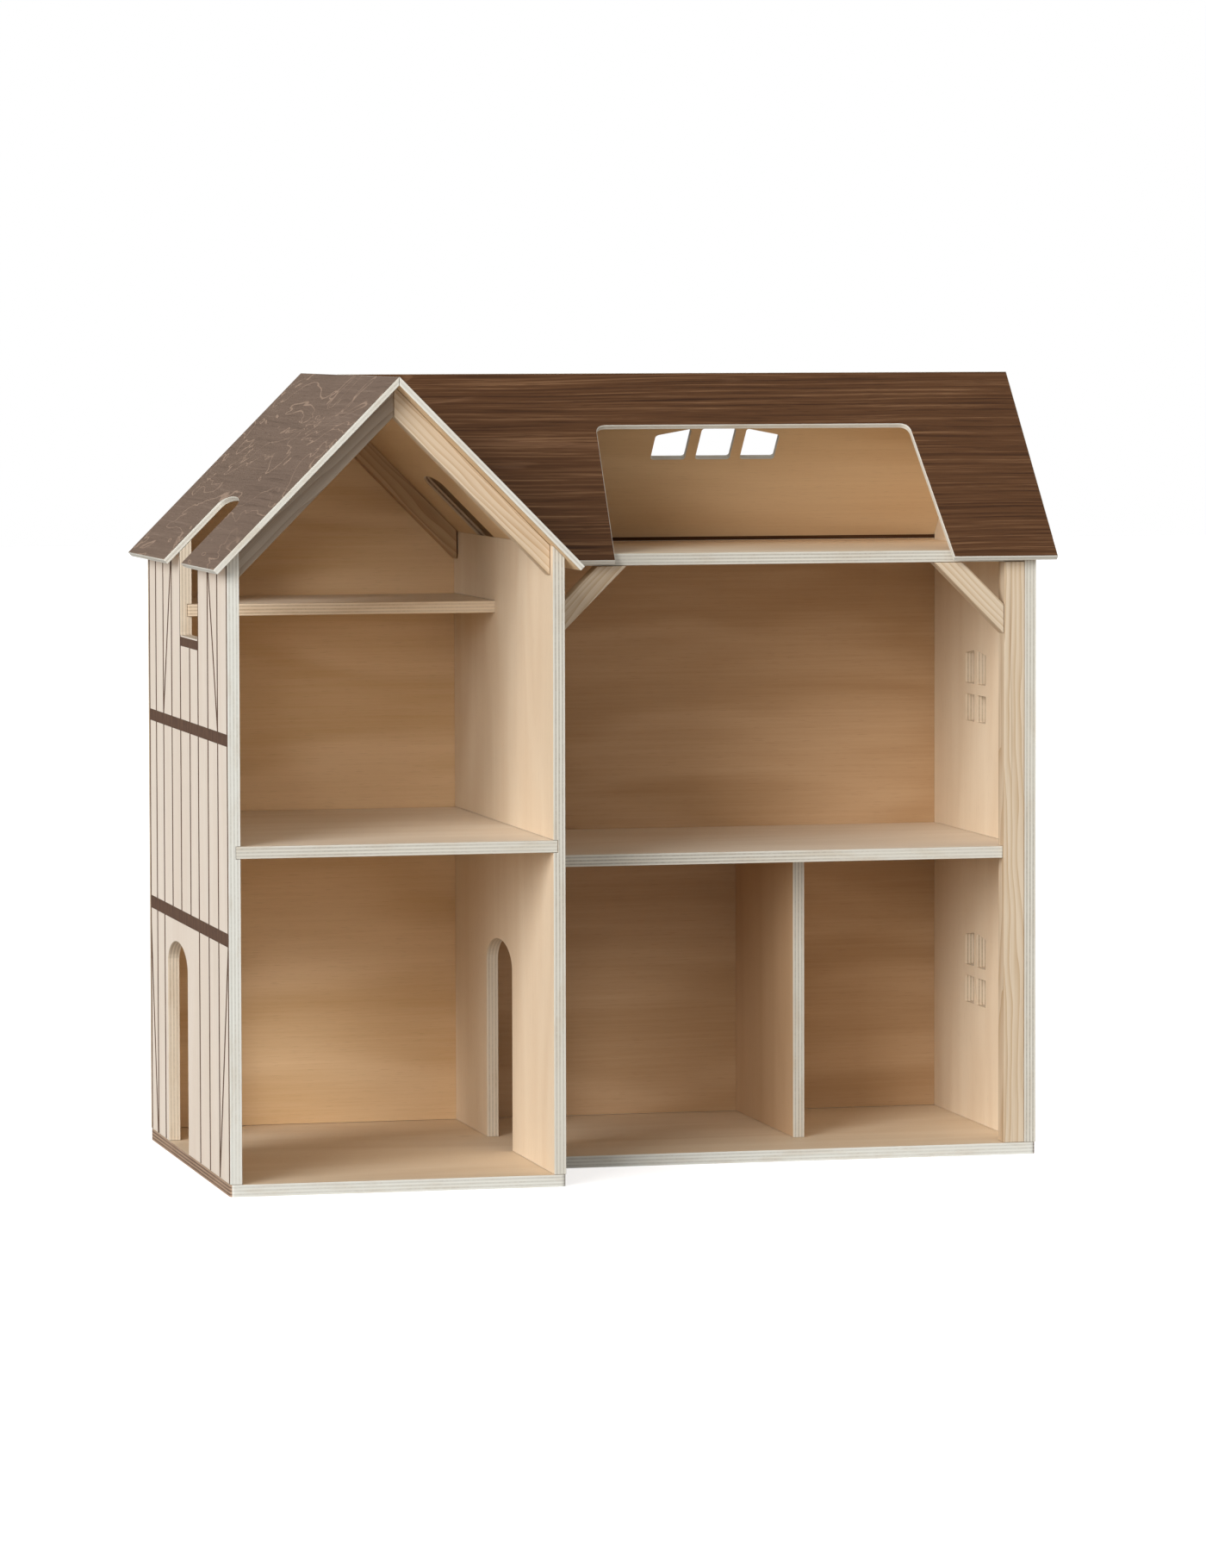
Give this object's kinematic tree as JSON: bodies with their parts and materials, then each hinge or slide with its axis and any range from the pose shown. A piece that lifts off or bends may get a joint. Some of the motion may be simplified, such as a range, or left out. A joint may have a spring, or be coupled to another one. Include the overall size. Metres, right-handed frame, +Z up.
{
  "type": "dollhouse",
  "caption": "L-shaped open-front plywood dollhouse: gabled wing and main house, arched doors, dormer, cut-out stained roof, corner posts with braces.",
  "frame": {"origin": "on the ground, under the middle of the house's box (roof overhangs included)", "axes": "+X to the right across the open front, +Y towards the back (the open front faces -Y), +Z up"},
  "size_m": [0.6766, 0.398, 0.6039],
  "materials": {
    "ply": "matt birch plywood, whitewashed edges",
    "back_ply": "matt thin plywood",
    "stained_ply": "satin brown stain on plywood",
    "pine": "planed natural pine",
    "steel": "zinc plated",
    "beech": "plain turned beech"
  },
  "bodies": {
    "root": {"base_board": "ply", "wing_left_wall": "ply", "wing_inner_wall": "ply", "main_right_wall": "ply", "wing_mid_floor": "ply", "wing_attic_shelf": "ply", "main_mid_floor": "ply", "main_attic_floor": "ply", "ground_partition": "ply", "wing_back_panel": "back_ply", "main_back_panel": "back_ply", "wing_roof_left": "stained_ply", "wing_roof_right": "stained_ply", "main_roof_front": "stained_ply", "main_roof_back": "stained_ply", "corner_post_left": "pine", "corner_post_right": "pine", "brace_left": "pine", "brace_right": "pine", "rafter_front_left": "pine", "rafter_front_right": "pine", "rafter_rear_left": "pine", "rafter_rear_right": "pine", "base_screw_1": "steel", "base_screw_2": "steel", "base_screw_3": "steel", "base_screw_4": "steel", "base_screw_5": "steel", "base_screw_6": "steel", "base_screw_7": "steel", "base_screw_8": "steel", "base_screw_9": "steel", "base_screw_10": "steel", "base_screw_11": "steel", "base_screw_12": "steel", "wing_back_screw_1": "steel", "wing_back_screw_2": "steel", "wing_back_screw_3": "steel", "wing_back_screw_4": "steel", "wing_back_screw_5": "steel", "wing_back_screw_6": "steel", "wing_back_screw_7": "steel", "main_back_screw_1": "steel", "main_back_screw_2": "steel", "main_back_screw_3": "steel", "main_back_screw_4": "steel", "main_back_screw_5": "steel", "main_back_screw_6": "steel", "main_back_screw_7": "steel", "attic_dowel_1": "beech", "attic_dowel_2": "beech", "attic_dowel_3": "beech", "attic_dowel_4": "beech"}
  },
  "joints": []
}
